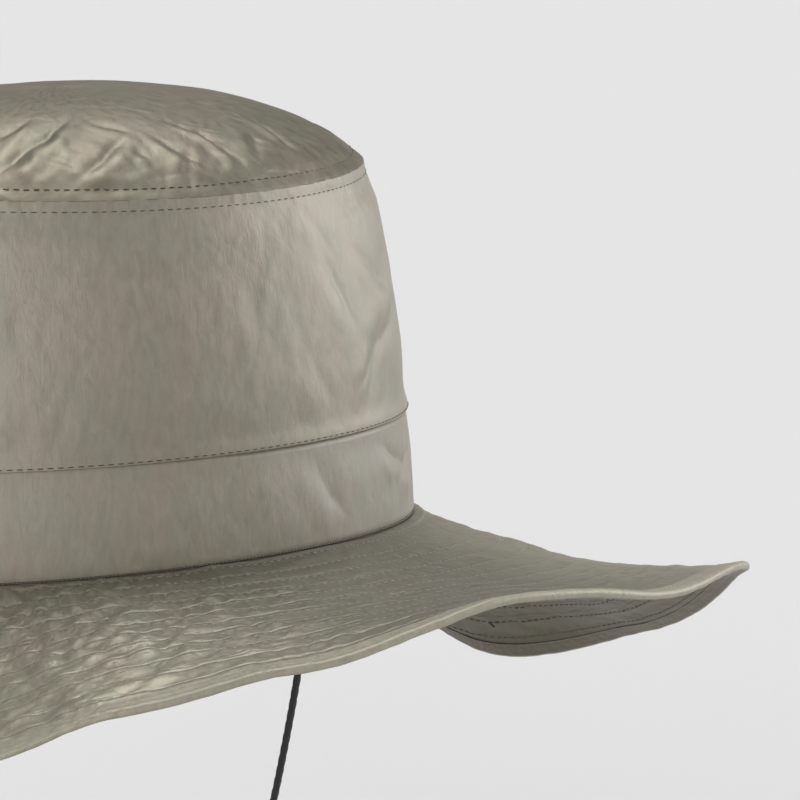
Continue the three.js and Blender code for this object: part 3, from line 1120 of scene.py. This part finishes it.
class HAT_OT_brim(bpy.types.Operator):
    """Sews the puckered brim and folds the tape over its rim"""

    bl_idname = "hat.brim"
    bl_label = "Sew the brim"

    def execute(self, context):
        size = sizes()
        rows = {"row_depth": 0.2 * MM}
        # The brim's nylon carries painted shade in its darker colour, and painted sheen that makes it paler
        # at front and back.
        top = nylon("stitched nylon in painted shade and sheen", colours().brim, 4 * MM, 0.1 * MM, gleam=0.5, painted_sheen=0.8, **rows)
        # The under layer carries painted shade: the same nylon in a darker colour.
        under = nylon("under layer of nylon in painted shade", colours().under, 7 * MM, 0.2 * MM, **rows)
        brim = draped("brim_cloth", "brim", -size.crown_cloth, size.brim_width, around=162, rows=19, cuts=3)
        thicken(brim, size.brim_cloth, top, under)
        finish_piece(brim, "brim_cloth", "brim")
        # The tape's upper leg and fold carry painted light: the same nylon in a paler colour.
        tape_in_painted_light = nylon("folded nylon tape in painted light", colours().tape, 4 * MM, 0.12 * MM, gleam=0.15)
        tape_in_painted_shade = nylon("under leg of the tape in painted shade", colours().under, 4 * MM, 0.12 * MM)
        tape = draped("rim_tape", "tape", 0, 1, around=240, rows=6, cuts=3)
        cloth_map = tape.data.uv_layers["cloth"].data
        # Painted shade: the faces of the tape's under leg take the darker under colour, so the same tape
        # comes in a lit copy and a shaded copy.
        for face in tape.data.polygons:
            face.material_index = int(cloth_map[face.loop_start].uv.y > tape_length() - size.tape_leg)
        thicken(tape, size.tape_cloth, tape_in_painted_light, tape_in_painted_shade, tape_in_painted_shade)
        finish_piece(tape, "binding_tape", "brim_binding")
        return {"FINISHED"}


class HAT_OT_stitches(bpy.types.Operator):
    """Sews the rows of stitches along the seams, the brim and its tape"""

    bl_idname = "hat.stitches"
    bl_label = "Sew the stitches"

    def execute(self, context):
        size = sizes()
        # The dark thread carries painted shade of the needle holes and seams.
        thread = spun_thread("spun polyester thread in painted shade", colours().thread)
        pale_thread = spun_thread("pale polyester thread", colours().tape_thread)
        # Painted shade: the thread under the tape takes the under colour, darker still.
        under_thread_in_painted_shade = spun_thread("under polyester thread in painted shade", darker(colours().under, 0.85))
        dark_thread = spun_thread("dark polyester thread", colours().cord)
        crown = size.crown_height
        last = size.brim_width - size.tape_leg - LAST_ROW_GAP
        brim_rows = np.arange(FIRST_ROW, last, size.row_spacing)
        tip_radius = size.half_width * CROWN_PROFILE[-1][1]
        tape_rows = np.array(TAPE_ROWS) / tape_length()
        side_rows = [1 - TIP_ROW / crown, (size.band_height + BAND_ROW) / crown]
        base_shadow_row = [BASE_ROW / crown]
        made = [
            (sewn("tip_stitches", "tip", [1 - TIP_ROW / tip_radius], lift=0.3), thread, "crown_cloth"),
            (sewn("side_stitches", "side", side_rows, lift=0.15), thread, "crown_cloth"),
            # Painted shadow: heavy dark stitches round the crown's base stand in for the seam's contact
            # shadow, over a row of real stitches.
            (sewn("base_seam_stitches_painted_shadow", "band", base_shadow_row, heavy=2.2, lift=0.3), thread, "crown_cloth"),
            (sewn("brim_stitches", "brim", brim_rows), pale_thread, "brim_cloth"),
            (sewn("brim_under_stitches", "brim", brim_rows, size.brim_cloth), thread, "brim_cloth"),
            (sewn("tape_stitches", "tape", tape_rows), pale_thread, "binding_tape"),
            (sewn("tape_under_stitches", "tape", 1 - tape_rows), under_thread_in_painted_shade, "binding_tape"),
            (bar_tack("back_bar_tack", *back_tack()), dark_thread, "brim_cloth"),
        ]
        for side, name in ((1, "cord_tack_left"), (-1, "cord_tack_right")):
            made.append((bar_tack(name, *cord_tack(side)), dark_thread, "cord"))
        for piece, material, slot in made:
            piece.data.materials.append(material)
            finish_piece(piece, slot)
        return {"FINISHED"}


class HAT_PT_panel(bpy.types.Panel):
    """Lists the steps that make the hat"""

    bl_label = "Soft sun hat"
    bl_idname = "HAT_PT_panel"
    bl_space_type = "VIEW_3D"
    bl_region_type = "UI"
    bl_category = "Hat"

    def draw(self, context):
        layout = self.layout
        for group in (context.scene.hat_sizes, context.scene.hat_colours):
            for key in group.__annotations__:
                layout.prop(group, key)
        for step in STEPS:
            layout.operator(step.bl_idname)


STEPS = (HAT_OT_stage, HAT_OT_cord, HAT_OT_crown, HAT_OT_brim, HAT_OT_stitches)
CLASSES = (HatSizes, HatColours, *STEPS, HAT_PT_panel)


def register():
    for kind in CLASSES:
        bpy.utils.register_class(kind)
    bpy.types.Scene.hat_sizes = bpy.props.PointerProperty(type=HatSizes)
    bpy.types.Scene.hat_colours = bpy.props.PointerProperty(type=HatColours)


def unregister():
    del bpy.types.Scene.hat_sizes
    del bpy.types.Scene.hat_colours
    for kind in reversed(CLASSES):
        bpy.utils.unregister_class(kind)


def main():
    register()
    bpy.ops.hat.stage()
    bpy.ops.hat.cord()
    bpy.ops.hat.crown()
    bpy.ops.hat.brim()
    bpy.ops.hat.stitches()


if __name__ == "__main__":
    main()
